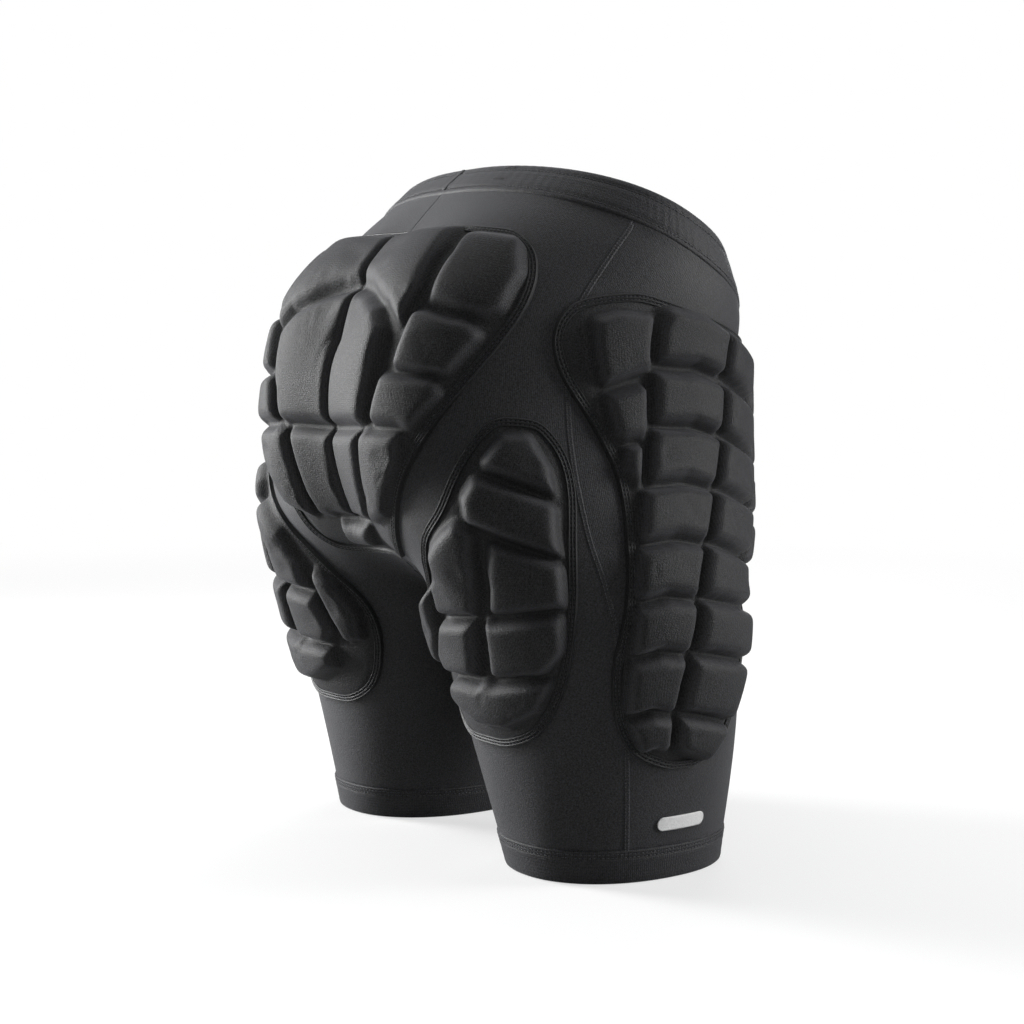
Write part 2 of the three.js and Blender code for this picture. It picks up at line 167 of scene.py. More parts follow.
def leg_surface(side, degrees, level):
    """Points on one leg, in millimetres, before they are placed in the frame."""
    reach, inner, middle, front, back, tilt = body_rows(level)
    angle = np.radians(degrees)
    across = signed_power(np.cos(angle), 2 / ROUNDNESS)
    along = signed_power(np.sin(angle), 2 / ROUNDNESS)
    x = (reach - inner) / 2 + (reach + inner) / 2 * across
    y = middle + np.where(along > 0, back, front) * along
    y = dimpled(x, y, middle, level)
    return np.stack([side * x, y, level + tilt * (y - middle)], -1)


def trunk_surface(x, level, towards_back):
    """Points over both legs, rounded across the middle."""
    reach, inner, middle, front, back, tilt = body_rows(level)
    distance = np.abs(x)
    soft = np.where(distance < CLEFT, distance**2 / (2 * CLEFT) + CLEFT / 2, distance)
    share = np.clip(np.abs(soft - (reach - inner) / 2) / ((reach + inner) / 2), 0, 1)
    depth = (1 - share**ROUNDNESS) ** (1 / ROUNDNESS)
    y = middle + (back * depth if towards_back else -front * depth)
    y = dimpled(x, y, middle, level)
    return np.stack([x + 0 * y, y, level + tilt * (y - middle)], -1)


hem_low, hem_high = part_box("hem_band_left")
nominal_hem = leg_surface(LEFT, np.array([-90.0, 90.0]), np.array([0.0, 0.0]))
DEPTH_SHIFT = (hem_low.y + hem_high.y) / 2 / MM - nominal_hem[:, 1].mean()
nominal_top = leg_surface(LEFT, np.array([90.0]), np.array([RIM]))[0, 2]
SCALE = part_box("waistband_casing")[1].z / MM / nominal_top


def to_frame(points):
    """Millimetres on the body form to metres in the frame."""
    return (points * SCALE + np.array([0, DEPTH_SHIFT, 0])) * MM


def leg_chart(side):
    """A chart of one leg: u is degrees round it, 0 outwards, 90 back, -90 front, 180 inwards."""
    return lambda u, level: leg_surface(side, u, level)


def seat_chart(u, level):
    """A chart of the back of the trunk: u is millimetres from the middle."""
    return trunk_surface(u, level, True)


def front_chart(u, level):
    """A chart of the front of the trunk: u is millimetres from the middle."""
    return trunk_surface(u, level, False)


STEP_U = 0.4
STEP_LEVEL = 1.0


def unit(vectors):
    """Vectors scaled to a length of one."""
    return vectors / np.maximum(np.linalg.norm(vectors, axis=-1, keepdims=True), 1e-12)


def above(chart, u, level, w):
    """Frame positions at height w (millimetres) above a chart, along its outward normal."""
    u, level, w = np.broadcast_arrays(*(np.asarray(value, float) for value in (u, level, w)))
    point = chart(u, level)
    along_u = chart(u + STEP_U, level) - chart(u - STEP_U, level)
    along_level = chart(u, level + STEP_LEVEL) - chart(u, level - STEP_LEVEL)
    normal = unit(np.cross(along_u, along_level))
    reach, inner, middle = body_rows(level)[:3]
    outward = np.zeros_like(point)
    outward[..., 1] = point[..., 1] - middle
    if chart not in (seat_chart, front_chart):
        outward[..., 0] = point[..., 0] - np.sign(point[..., 0]) * (reach - inner) / 2
    flip = np.where((normal * outward).sum(-1) < 0, -1.0, 1.0)
    return to_frame(point + normal * (flip * w)[..., None])


def ring_surface(turn, level):
    """Points right round the trunk: turn 0 is the wearer's left, 90 the centre of the back."""
    turn = np.asarray(turn, float)
    reach, inner = body_rows(level)[:2]
    side = np.where(np.cos(np.radians(turn)) >= 0, LEFT, RIGHT)
    share = np.degrees(np.arcsin(np.clip(np.sin(np.radians(turn)), -1, 1))) / 90
    across = np.clip((CLEFT / 2 - (reach - inner) / 2) / ((reach + inner) / 2), 0, 1)
    furthest = np.degrees(np.arccos(across ** (ROUNDNESS / 2)))
    point = leg_surface(1, share * furthest, level)
    x = point[..., 0]
    rounded = np.sqrt(np.maximum(x - CLEFT / 2, 0) * 2 * CLEFT)
    point[..., 0] = side * np.where(x < CLEFT, rounded, x)
    return point


FLATTEN_STOPS = 17


def flatten(chart, origin, u, level):
    """Millimetres along the surface from u = origin, with the level: a flat drawing of a chart."""
    u, level = np.broadcast_arrays(np.asarray(u, float), np.asarray(level, float))
    share = np.linspace(0, 1, FLATTEN_STOPS)
    stops = origin + (u[..., None] - origin) * share
    points = chart(stops, level[..., None] + 0 * stops)
    length = np.linalg.norm(np.diff(points, axis=-2), axis=-1).sum(-1)
    return np.stack([np.sign(u - origin) * length, level], -1)


# ---- mesh helpers ----

def make_mesh(name, points, faces):
    mesh = bpy.data.meshes.new(name)
    mesh.from_pydata(points.tolist(), [], faces)
    return mesh


def add_object(name, data):
    """A new object, put in the scene."""
    result = bpy.data.objects.new(name, data)
    bpy.context.scene.collection.objects.link(result)
    return result


def make_object(name, points, faces, uv, material, replaced=(), slot=None):
    """A smooth-shaded mesh on the root body. uv has a pair for each face corner, in millimetres.

    slot is not used.
    """
    mesh = make_mesh(name, points, faces)
    layer = mesh.uv_layers.new(name="UVMap")
    layer.data.foreach_set("uv", np.asarray(uv, np.float32).ravel())
    mesh.polygons.foreach_set("use_smooth", [True] * len(mesh.polygons))
    mesh.materials.append(material)
    mesh.validate()
    mesh.update()
    result = add_object(name, mesh)
    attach(result, "root")
    if replaced:
        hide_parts(*replaced)
    return result


def signed_volume(points, faces):
    """Six times the volume inside the faces, below zero when they look inwards."""
    quads = np.array([list(f) + [f[0]] * (4 - len(f)) for f in faces])
    a, b, c, d = (points[quads[:, i]] for i in range(4))
    first = np.einsum("ij,ij->i", a, np.cross(b, c)).sum()
    return first + np.einsum("ij,ij->i", a, np.cross(c, d)).sum()


def grid_faces(rows, columns, wrap_rows, wrap_columns, start=0):
    """Quads of a grid of vertices, row by row, as an array of four indices each."""
    last_row = rows if wrap_rows else rows - 1
    last_column = columns if wrap_columns else columns - 1
    r, c = np.meshgrid(np.arange(last_row), np.arange(last_column), indexing="ij")
    r, c = r.ravel(), c.ravel()
    next_r = (r + 1) % rows
    next_c = (c + 1) % columns
    quads = [r * columns + c, r * columns + next_c, next_r * columns + next_c, next_r * columns + c]
    corners = np.stack([r, c, r, c + 1, r + 1, c + 1, r + 1, c], -1).reshape(-1, 4, 2)
    return np.stack(quads, -1) + start, corners


def tube(points, uv_scale, closed_path):
    """A closed solid: cross sections (rows) of a loop of points (columns), capped if open-ended."""
    rows, columns = points.shape[:2]
    quads, corners = grid_faces(rows, columns, closed_path, True)
    uv = corners * np.array(uv_scale)
    faces = quads.tolist()
    flat = points.reshape(-1, 3)
    if not closed_path:
        half = columns // 2
        for row in (0, rows - 1):
            for c in range(half - 1):
                cap = [c, c + 1, columns - 2 - c, columns - 1 - c]
                cap = [row * columns + i for i in cap]
                faces.append(cap[::-1] if row == 0 else cap)
                uv = np.concatenate([uv, np.zeros((1, 4, 2))])
    return flat, faces, uv


def outward(points, faces, uv):
    """The same solid with its faces turned so that they look outwards."""
    if signed_volume(points, faces) < 0:
        faces = [f[::-1] for f in faces]
        uv = uv[:, ::-1]
    return points, faces, uv


def joined(parts):
    """Several (points, faces, uv) solids as one."""
    points, faces, uvs, start = [], [], [], 0
    for part_points, part_faces, part_uv in parts:
        points.append(part_points)
        faces += [[i + start for i in f] for f in part_faces]
        uvs.append(np.asarray(part_uv).reshape(-1, 2))
        start += len(part_points)
    return np.concatenate(points), faces, np.concatenate(uvs)


def surface_frame(chart, u, level, closed):
    """Positions on a chart path with the unit directions along it, across it and off the cloth."""
    base = above(chart, u, level, 0)
    normal = unit(above(chart, u, level, 1) - base)
    if closed:
        along = np.roll(base, -1, 0) - np.roll(base, 1, 0)
    else:
        along = np.gradient(base, axis=0)
    along = unit(along)
    return base, along, unit(np.cross(normal, along)), normal


def even_path(chart, u, level, closed, spacing):
    """The same chart path with points at even distances over the cloth."""
    u = np.asarray(u, float)
    level = np.asarray(level, float)
    if closed:
        u = np.append(u, u[0])
        level = np.append(level, level[0])
    base = above(chart, u, level, 0) / MM
    distance = np.concatenate([[0], np.cumsum(np.linalg.norm(np.diff(base, axis=0), axis=-1))])
    count = max(int(distance[-1] / spacing), 4)
    stops = np.linspace(0, distance[-1], count + 1)
    if closed:
        stops = stops[:-1]
    return np.interp(stops, distance, u), np.interp(stops, distance, level)


def softened(values, passes):
    """Values round a loop, each drawn towards its neighbours."""
    for _ in range(passes):
        values = 0.25 * np.roll(values, 1) + 0.5 * values + 0.25 * np.roll(values, -1)
    return values


# Roughly the millimetres that one step along and one step across a strip cover.
RIBBON_UV = (1.5, 0.4)


def ribbon(chart, u, level, profile, closed):
    """A strip with a given cross section (across, height) laid along a chart path."""
    base, _, across, normal = surface_frame(chart, u, level, closed)
    profile = np.asarray(profile, float) * MM * SCALE
    sideways = across[:, None] * profile[None, :, :1]
    points = base[:, None] + sideways + normal[:, None] * profile[None, :, 1:]
    return outward(*tube(points, RIBBON_UV, closed))


# Each stitch: how far along it a ring of points lies, and the ring's share of the full radius.
STITCH_RINGS = [(-0.5, 0.25), (-0.36, 0.85), (0, 1), (0.36, 0.85), (0.5, 0.25)]
STITCH_SIDES = 6


def stitches(chart, u, level, closed, offset, height, pitch=2.6, length=1.9, radius=0.27):
    """A row of sewn threads along a chart path, each a short rounded bar that dips at both ends."""
    u, level = even_path(chart, u, level, closed, pitch)
    base, along, across, normal = surface_frame(chart, u, level, closed)
    spot = base + across * offset * MM + normal * height * MM
    parts = []
    for share, size in STITCH_RINGS:
        drop = (0.3 - 1.2 * abs(share)) * radius * MM
        for k in range(STITCH_SIDES):
            angle = 2 * math.pi * k / STITCH_SIDES
            shift = along * share * length * MM + across * math.cos(angle) * size * radius * MM
            parts.append(spot + shift + normal * (math.sin(angle) * size * radius * MM + drop))
    count = len(spot)
    per_stitch = len(STITCH_RINGS) * STITCH_SIDES
    points = np.stack(parts, 1)
    quads = grid_faces(len(STITCH_RINGS), STITCH_SIDES, False, True)[0]
    cap_a = np.arange(STITCH_SIDES)[::-1]
    cap_b = np.arange(STITCH_SIDES) + per_stitch - STITCH_SIDES
    single = quads.tolist() + [cap_a.tolist(), cap_b.tolist()]
    if signed_volume(points[0] - points[0].mean(0), quads.tolist()) < 0:
        single = [f[::-1] for f in single]
    faces = [[i + n * per_stitch for i in f] for n in range(count) for f in single]
    corners_each = sum(len(f) for f in single)
    return points.reshape(-1, 3), faces, np.zeros((count * corners_each, 2))


# ---- materials ----

FUZZ_SCALE = 1150
CLOUD_SCALE = 22
SHEEN_TINT = (0.82, 0.83, 0.88, 1)
SHEEN_ROUGHNESS = 0.42
BUMP_STRENGTH = 0.6


def shading(block):
    """Turns on a material's or a world's nodes and gives its node tree."""
    block.use_nodes = True
    return block.node_tree


def node(tree, kind, inputs):
    """A new shader node; each input is a number, a colour or another node's output."""
    made = tree.nodes.new("ShaderNode" + kind)
    set_inputs(tree, made, inputs)
    return made


def set_inputs(tree, made, inputs):
    for key, value in inputs.items():
        if isinstance(value, bpy.types.NodeSocket):
            tree.links.new(value, made.inputs[key])
        else:
            made.inputs[key].default_value = value


def arithmetic(tree, operation, first, second):
    made = node(tree, "Math", {0: first, 1: second})
    made.operation = operation
    return made.outputs[0]


def fabric(
    name, dark, light, roughness, wale, course, depth, sheen, twill=0.0, wear_and_highlight=0.0, shine=0.22
):
    """Knitted cloth: a loop every wale by course millimetres, depth high, under fine fuzz.

    twill is the share of slanting ribs, and wear_and_highlight is how much paler the mesh's "edge"
    places are: a painted highlight along the pad blocks' shoulders, partly rubbed fibre too.
    """
    material = bpy.data.materials.new(name)
    tree = shading(material)
    sheet = node(tree, "UVMap", {})
    sheet.uv_map = "UVMap"
    place = node(tree, "TexCoord", {})

    def wave(direction, period, distortion):
        scale = math.pi / (10 * period)
        inputs = {"Scale": scale, "Distortion": distortion, "Detail Scale": 0.6}
        made = node(tree, "TexWave", {**inputs, "Vector": sheet.outputs["UV"]})
        made.wave_type = "BANDS"
        made.bands_direction = direction
        return made.outputs["Fac"]

    def noise(scale, detail):
        inputs = {"Scale": scale, "Detail": detail, "Vector": place.outputs["Object"]}
        return node(tree, "TexNoise", inputs).outputs["Fac"]

    def plus(first, second):
        return arithmetic(tree, "ADD", first, second)

    def times(first, second):
        return arithmetic(tree, "MULTIPLY", first, second)

    loops = times(wave("X", wale, 0.6), plus(times(wave("Y", course, 0.4), 0.6), 0.4))
    if twill:
        loops = plus(times(loops, 1 - twill), times(wave("DIAGONAL", wale, 0.8), twill))
    fuzz = plus(times(noise(FUZZ_SCALE, 2), 2.0), -0.5)
    cloud = noise(CLOUD_SCALE, 3)
    tone = plus(plus(times(loops, 0.3), times(fuzz, 0.7)), times(cloud, 0.2))
    # Paler along the pad blocks' shoulders: a painted highlight, partly rubbed fibre too.
    if wear_and_highlight:
        edge_wear_and_highlight = node(tree, "Attribute", {})
        edge_wear_and_highlight.attribute_name = "edge"
        tone = plus(tone, times(edge_wear_and_highlight.outputs["Fac"], wear_and_highlight))
    ramp = node(tree, "ValToRGB", {"Fac": tone})
    low, high = ramp.color_ramp.elements
    low.position, low.color = 0.15, (*dark, 1)
    high.position, high.color = 1.0, (*light, 1)
    weave = plus(times(loops, 0.5), fuzz)
    bump = node(tree, "Bump", {"Strength": BUMP_STRENGTH, "Distance": depth * MM, "Height": weave})
    rough = plus(plus(times(cloud, 0.16), roughness - 0.08), times(loops, -0.1))
    set_inputs(tree, tree.nodes["Principled BSDF"], {
        "Base Color": ramp.outputs["Color"],
        "Roughness": rough,
        "Sheen Weight": sheen,
        "Sheen Roughness": SHEEN_ROUGHNESS,
        "Sheen Tint": SHEEN_TINT,
        "Specular IOR Level": shine,
        "Normal": bump.outputs["Normal"],
    })
    return material


STRETCH_KNIT = fabric(
    "stretch_knit", (0.004, 0.004, 0.0045), (0.046, 0.046, 0.050),
    roughness=0.60, wale=0.8, course=0.6, depth=0.24, sheen=0.20,
)
BAND_KNIT = fabric(
    "band_knit", (0.004, 0.004, 0.0045), (0.042, 0.042, 0.046),
    roughness=0.60, wale=1.2, course=0.8, depth=0.28, sheen=0.16,
)
# The pad cover is painted paler along its block shoulders: a painted highlight, with some wear.
PAD_COVER = fabric(
    "pad_cover", (0.003, 0.003, 0.0033), (0.042, 0.042, 0.045),
    roughness=0.60, wale=0.9, course=0.9, depth=0.3, sheen=0.10, twill=0.15, wear_and_highlight=0.35, shine=0.15,
)
BINDING_TAPE = fabric(
    "binding_tape", (0.003, 0.003, 0.0033), (0.030, 0.030, 0.032),
    roughness=0.50, wale=0.6, course=0.6, depth=0.12, sheen=0.08,
)
THREAD = fabric(
    "thread", (0.02, 0.02, 0.022), (0.10, 0.10, 0.108),
    roughness=0.4, wale=0.4, course=0.4, depth=0.05, sheen=0.1,
)
PALE_TRANSFER = fabric(
    "pale_transfer", (0.60, 0.60, 0.60), (0.80, 0.80, 0.80),
    roughness=0.5, wale=0.9, course=0.7, depth=0.12, sheen=0.0,
)


# ---- knitted panels ----

SKIN_VOXEL = 2.6
CLOTH_THICKNESS = 1.2
LEG_RADIUS = 88
FORM_BOTTOM = -8
FORM_TOP = 388

# The bridge between the legs is thinner from front to back below BRIDGE_FULL.
BRIDGE_START = [154, 157, 161, 165]
BRIDGE_SHARE = [0.35, 0.6, 0.8, 0.94]
BRIDGE_FULL = 170
BRIDGE_ROWS = 80

# Seams run down each leg at these angles. The gusset is a diamond below GUSSET_TOP.
SEAM_REAR = 25.0
SEAM_FRONT = -75.0
GUSSET_HALF_WIDTH = 24.0
GUSSET_MIDDLE = 8.0
GUSSET_BACK = 82.0
GUSSET_FRONT = -64.0
GUSSET_TOP = 206.0
GUSSET_FADE = 20.0
PANEL_BOTTOM = HEM_TOP - 0.4
PANEL_TOP = SEAM + 1.5


def body_volume():
    """Both legs and the bridge between them as overlapping closed solids."""
    parts = []
    levels = np.linspace(FORM_BOTTOM, FORM_TOP, 133)
    degrees = np.linspace(0, 360, 121)[:-1]
    for side in (RIGHT, LEFT):
        rings = to_frame(leg_surface(side, degrees[None, :], levels[:, None]))
        parts.append(outward(*tube_with_lids(rings)))
    levels = np.concatenate([BRIDGE_START, np.linspace(BRIDGE_FULL, FORM_TOP, BRIDGE_ROWS)])
    shrink = np.concatenate([BRIDGE_SHARE, np.ones(BRIDGE_ROWS)])
    kept = np.ones(len(levels))
    x = np.linspace(-CLEFT, CLEFT, 31)
    rear = trunk_surface(x[None, :], levels[:, None], True)
    fore = trunk_surface(x[None, ::-1], levels[:, None], False)
    rings = np.concatenate([rear, fore], 1)
    centre = rings.mean(1, keepdims=True)
    rings = centre + (rings - centre) * np.stack([kept, shrink, kept], -1)[:, None]
    parts.append(outward(*tube_with_lids(to_frame(rings))))
    return joined(parts)


def tube_with_lids(rings):
    """A closed solid from rings of points, each end closed by a fan of triangles."""
    rows, columns = rings.shape[:2]
    quads = grid_faces(rows, columns, False, True)[0]
    points = np.concatenate([rings.reshape(-1, 3), rings[0].mean(0)[None], rings[-1].mean(0)[None]])
    faces = quads.tolist()
    for c in range(columns):
        after = (c + 1) % columns
        faces.append([rows * columns, after, c, rows * columns])
        base = (rows - 1) * columns
        faces.append([rows * columns + 1, base + c, base + after, rows * columns + 1])
    faces = [f[:3] if f[0] == f[-1] else f for f in faces]
    return points, faces, np.zeros((len(faces), 4, 2))


LEVEL_HALVINGS = 24


def body_places(points):
    """For frame positions: distance from the middle, depth, level and angle round the leg."""
    body = points / MM / SCALE - np.array([0, DEPTH_SHIFT / SCALE, 0])
    x, y, z = body.T
    low = np.full_like(z, BODY[0, 0] - 10)
    high = np.full_like(z, BODY[-1, 0] + 2)
    for _ in range(LEVEL_HALVINGS):
        level = (low + high) / 2
        middle, tilt = body_rows(level)[[2, 5]]
        under = level + tilt * (y - middle) < z
        low = np.where(under, level, low)
        high = np.where(under, high, level)
    reach, inner, middle, front, back = body_rows(level)[:5]
    across = (np.abs(x) - (reach - inner) / 2) / ((reach + inner) / 2)
    along = (y - middle) / np.where(y > middle, back, front)
    back_share = signed_power(along, ROUNDNESS / 2)
    side_share = signed_power(across, ROUNDNESS / 2)
    return x, y, level, np.degrees(np.arctan2(back_share, side_share))


def gusset_field(x, y, level):
    """Below zero inside the crotch gusset."""
    reach = np.where(y > GUSSET_MIDDLE, GUSSET_BACK - GUSSET_MIDDLE, GUSSET_MIDDLE - GUSSET_FRONT)
    diamond = np.abs(x) / GUSSET_HALF_WIDTH + np.abs(y - GUSSET_MIDDLE) / reach - 1
    return np.maximum(diamond, (level - GUSSET_TOP) / GUSSET_FADE)


def cut_along(mesh, field, wrap):
    """Adds edges to a bmesh where field, a function of vertex positions, is zero.

    An edge whose ends differ by more than wrap is left whole: the field jumps there.
    """
    mesh.verts.ensure_lookup_table()
    points = np.array([v.co[:] for v in mesh.verts])
    value = dict(zip(mesh.verts, field(points)))
    fresh = set()
    for edge in list(mesh.edges):
        a, b = edge.verts
        first, second = value[a], value[b]
        if first * second >= 0 or abs(first - second) > wrap:
            continue
        made = bmesh.utils.edge_split(edge, a, first / (first - second))[1]
        value[made] = 0.0
        fresh.add(made)
    for face in list(mesh.faces):
        on = [v for v in face.verts if v in fresh]
        if len(on) == 2:
            bmesh.utils.face_split(face, on[0], on[1])


def angle_field(degrees):
    """A field that is zero on the line down the leg at that angle."""
    return lambda points: (body_places(points)[3] - degrees + 180) % 360 - 180


def panel_name(x, degrees, in_gusset):
    """The CAD node that the cloth at a place belongs to."""
    if in_gusset:
        return "crotch_gusset"
    side = "left" if x > 0 else "right"
    if SEAM_FRONT < degrees < SEAM_REAR:
        return f"side_panel_{side}"
    return f"back_panel_{side}" if SEAM_REAR < degrees else f"front_panel_{side}"


def creases(points):
    """How far the cloth stands off its form, in millimetres, from soft pulls and folds."""
    x, _, level, degrees = body_places(points)
    leg_pull = 0.5 * np.sin(level / 7.5 + degrees / 21) * np.exp(-((level - 150) / 42) ** 2)
    leg_pull *= np.clip((np.abs(degrees) - 95) / 50, 0, 1)
    slow = 0.35 * np.sin(level / 23 + degrees / 17) * np.sin(degrees / 11 + x / 60)
    return leg_pull + slow


def knitted_panels():
    """The body form as one thin skin, cut along the seams into the CAD's panels."""
    points, faces, _ = body_volume()
    form = add_object("form", make_mesh("form", points, faces))
    remesh = form.modifiers.new("remesh", "REMESH")
    remesh.mode = "VOXEL"
    remesh.voxel_size = SKIN_VOXEL * MM
    smooth = form.modifiers.new("smooth", "SMOOTH")
    smooth.factor = 0.5
    smooth.iterations = 10
    evaluated = form.evaluated_get(bpy.context.evaluated_depsgraph_get())
    skin = bpy.data.meshes.new_from_object(evaluated)
    bpy.data.objects.remove(form)
    cut = bmesh.new()
    cut.from_mesh(skin)
    for edge in (PANEL_BOTTOM, PANEL_TOP):
        cut_along(cut, lambda p, edge=edge: body_places(p)[2] - edge, 20)
    cut_along(cut, lambda p: p[:, 0] / MM, 20)
    cut_along(cut, lambda p: gusset_field(*body_places(p)[:3]), 2)
    for degrees in (SEAM_REAR, SEAM_FRONT, 180):
        cut_along(cut, angle_field(degrees), 90)
    centres = np.array([f.calc_center_median()[:] for f in cut.faces])
    x, y, level, degrees = body_places(centres)
    in_gusset = gusset_field(x, y, level) < 0
    keep = (level > PANEL_BOTTOM) & (level < PANEL_TOP)
    groups = {}
    cut.normal_update()
    normals = np.array([v.normal[:] for v in cut.verts])
    outer = np.array([v.co[:] for v in cut.verts])
    outer = outer + normals * (creases(outer) * MM)[:, None]
    cut.verts.index_update()
    for i, face in enumerate(cut.faces):
        if keep[i]:
            name = panel_name(x[i], degrees[i], in_gusset[i])
            groups.setdefault(name, []).append([v.index for v in face.verts])
    cut.free()
    for name, members in groups.items():
        thick_panel(name, outer, normals, members)


def thick_panel(name, outer, normals, members):
    """One panel of cloth as a closed sheet: the outside, the inside and a strip round the edge."""
    used = np.unique(np.concatenate([np.array(f) for f in members]))
    place = {old: new for new, old in enumerate(used)}
    count = len(used)
    shell = outer[used]
    points = np.concatenate([shell, shell - normals[used] * CLOTH_THICKNESS * MM])
    front = [[place[i] for i in f] for f in members]
    edges = dict.fromkeys((a, b) for f in front for a, b in zip(f, f[1:] + f[:1]))
    border = [(a, b) for a, b in edges if (b, a) not in edges]
    faces = front + [[i + count for i in f[::-1]] for f in front]
    faces += [[b, a, a + count, b + count] for a, b in border]
    x, y, level, degrees = body_places(points)
    if name == "crotch_gusset":
        sheet = np.stack([x, y], -1)
    else:
        turn = degrees % 360 if "back" in name else degrees
        sheet = np.stack([np.radians(turn) * LEG_RADIUS, level], -1)
    uv = np.array([sheet[i] for f in faces for i in f])
    make_object(name, points, faces, uv, STRETCH_KNIT, (name,))


# ---- pad covers ----

# Heights above the knit: the pad's underside, its outer edge, its grooves and its blocks.
PAD_BOTTOM = 0.3
FLANGE = 1.2
FLOOR = 2.4
BLOCK_TOP = 12.4
SEAT_BLOCK_TOP = 10.6

# The mesh's spacing, the width of the flat margin, and how far in the blocks fade from the edge.
# At the pad's two ends they may come END_ALLOWANCE nearer.
PAD_GRID = 1.2
MARGIN = 9.0
EDGE_FADE = 3.5
END_ALLOWANCE = 2.0

# A block's foot stands outside its outline, but leaves GROOVE_FLOOR to the middle of a groove.
# Its shoulder is SHOULDER wide and its top rises by the share CROWN.
HIP_FOOT = 4.4
SEAT_FOOT = 4.0
THIGH_FOOT = 3.8
GROOVE_FLOOR = 0.7
SHOULDER = 7.0
SHOULDER_POWER = 2.6
CROWN = 0.14
CROWN_BLUR = 6.0
CROWN_START = 0.42
CROWN_SPAN = 0.55
# Width of the band painted paler along each block's shoulder: painted highlight and some wear.
WEAR_AND_HIGHLIGHT_WIDTH = 1.3
SOFTENING = 1.0
RELIEF_STEP = 0.6
PLAN_MARGIN = 20

# The cloth simulation moves every CLOTH_STEP-th point, by CLOTH_CAP millimetres at most. It is
# sewn down in the grooves, and wholly free above SEWN_RISE of a block's height.
CLOTH_STEP = 2
CLOTH_FRAMES = 16
CLOTH_CAP = 1.5
CLOTH_SETTINGS = {
    "quality": 6,
    "mass": 0.15,
    "tension_stiffness": 12,
    "compression_stiffness": 12,
    "shear_stiffness": 5,
    "bending_stiffness": 0.3,
    "vertex_group_mass": "sewn",
    "use_pressure": True,
    "uniform_pressure_force": 4.0,
    "shrink_min": -0.008,
}
SEWN_RISE = 0.35


def densely(polygon, pieces=8):
    """A polygon with each side split into equal pieces."""
    polygon = np.asarray(polygon, float)
    after = np.roll(polygon, -1, 0)
    share = np.linspace(0, 1, pieces + 1)[:-1, None]
    return np.concatenate([a + (b - a) * share for a, b in zip(polygon, after)])


def blurred(image, width):
    """An image blurred by a bell curve of that width in cells."""
    rows, columns = image.shape
    along = np.fft.fftfreq(rows)[:, None]
    across = np.fft.rfftfreq(columns)[None, :]
    bell = np.exp(-2 * (math.pi * width) ** 2 * (along**2 + across**2))
    return np.fft.irfft2(np.fft.rfft2(image) * bell, s=image.shape)


def inside(polygon, a, b):
    """1 where a grid of positions lies in a polygon, 0 elsewhere."""
    result = np.zeros((len(a), len(b)), bool)
    for (a1, b1), (a2, b2) in zip(polygon, np.roll(polygon, -1, 0)):
        rows = (b1 > b) != (b2 > b)
        if not rows.any():
            continue
        crossing = a1 + (b[rows] - b1) * (a2 - a1) / (b2 - b1)
        result[:, rows] ^= a[:, None] < crossing[None, :]
    return result.astype(float)


def depth_inside(polygon, a, b):
    """How far inside a polygon each place of a grid lies, below zero outside it."""
    nearest = np.full((len(a), len(b)), np.inf)
    for (a1, b1), (a2, b2) in zip(polygon, np.roll(polygon, -1, 0)):
        run_a, run_b = a2 - a1, b2 - b1
        from_a, from_b = a[:, None] - a1, b[None, :] - b1
        share = (from_a * run_a + from_b * run_b) / max(run_a**2 + run_b**2, 1e-9)
        share = np.clip(share, 0, 1)
        gap = (from_a - share * run_a) ** 2 + (from_b - share * run_b) ** 2
        nearest = np.minimum(nearest, gap)
    return np.sqrt(nearest) * (2 * inside(polygon, a, b) - 1)


def block_relief(chart, origin, blocks, foot):
    """A function from flat positions to block height, 0 to 1, and shoulder bands of painted
    highlight and wear.
    """
    flat = [flatten(chart, origin, *densely(block).T) for block in blocks]
    low = np.concatenate(flat).min(0) - PLAN_MARGIN
    high = np.concatenate(flat).max(0) + PLAN_MARGIN
    size = np.ceil((high - low) / RELIEF_STEP).astype(int)
    a = low[0] + np.arange(size[0]) * RELIEF_STEP
    b = low[1] + np.arange(size[1]) * RELIEF_STEP
    first = np.full(size, -np.inf)
    second = np.full(size, -np.inf)
    for polygon in flat:
        found = depth_inside(polygon, a, b) + foot
        second = np.maximum(second, np.minimum(first, found))
        first = np.maximum(first, found)
    depth = np.minimum(first, (first - second) / 2 - GROOVE_FLOOR)
    crown = blurred((depth > 0).astype(float), CROWN_BLUR / RELIEF_STEP)
    share = np.clip(depth / SHOULDER, 0, 1)
    rise = 1 - (1 - share) ** SHOULDER_POWER
    dome = ease((crown - CROWN_START) / CROWN_SPAN)
    height = blurred(rise * (1 - CROWN + CROWN * dome), SOFTENING / RELIEF_STEP)
    # A band along each block's shoulder, painted paler: a painted highlight, partly wear.
    edge = np.exp(-(((depth - 0.5 * SHOULDER) / WEAR_AND_HIGHLIGHT_WIDTH) ** 2))

    def read(places):
        cell = (places - low) / RELIEF_STEP
        return [read_grid(field[..., None], cell)[..., 0] for field in (height, edge)]

    return read


def relaxed(grid, passes):
    """A grid of points drawn towards the mean of their neighbours, with its border held."""
    for _ in range(passes):
        around = grid[:-2, 1:-1] + grid[2:, 1:-1] + grid[1:-1, :-2] + grid[1:-1, 2:]
        grid[1:-1, 1:-1] = 0.5 * grid[1:-1, 1:-1] + 0.125 * around
    return grid


def read_grid(grid, cell):
    """A grid of vectors read at places that lie between its nodes, given as row and column."""
    cell = np.clip(cell, 0, np.array(grid.shape[:2]) - 1.001)
    base = cell.astype(int)
    i, j = np.moveaxis(base, -1, 0)
    s, t = np.moveaxis(cell - base, -1, 0)[..., None]
    lower = grid[i, j] * (1 - s) + grid[i + 1, j] * s
    upper = grid[i, j + 1] * (1 - s) + grid[i + 1, j + 1] * s
    return lower * (1 - t) + upper * t


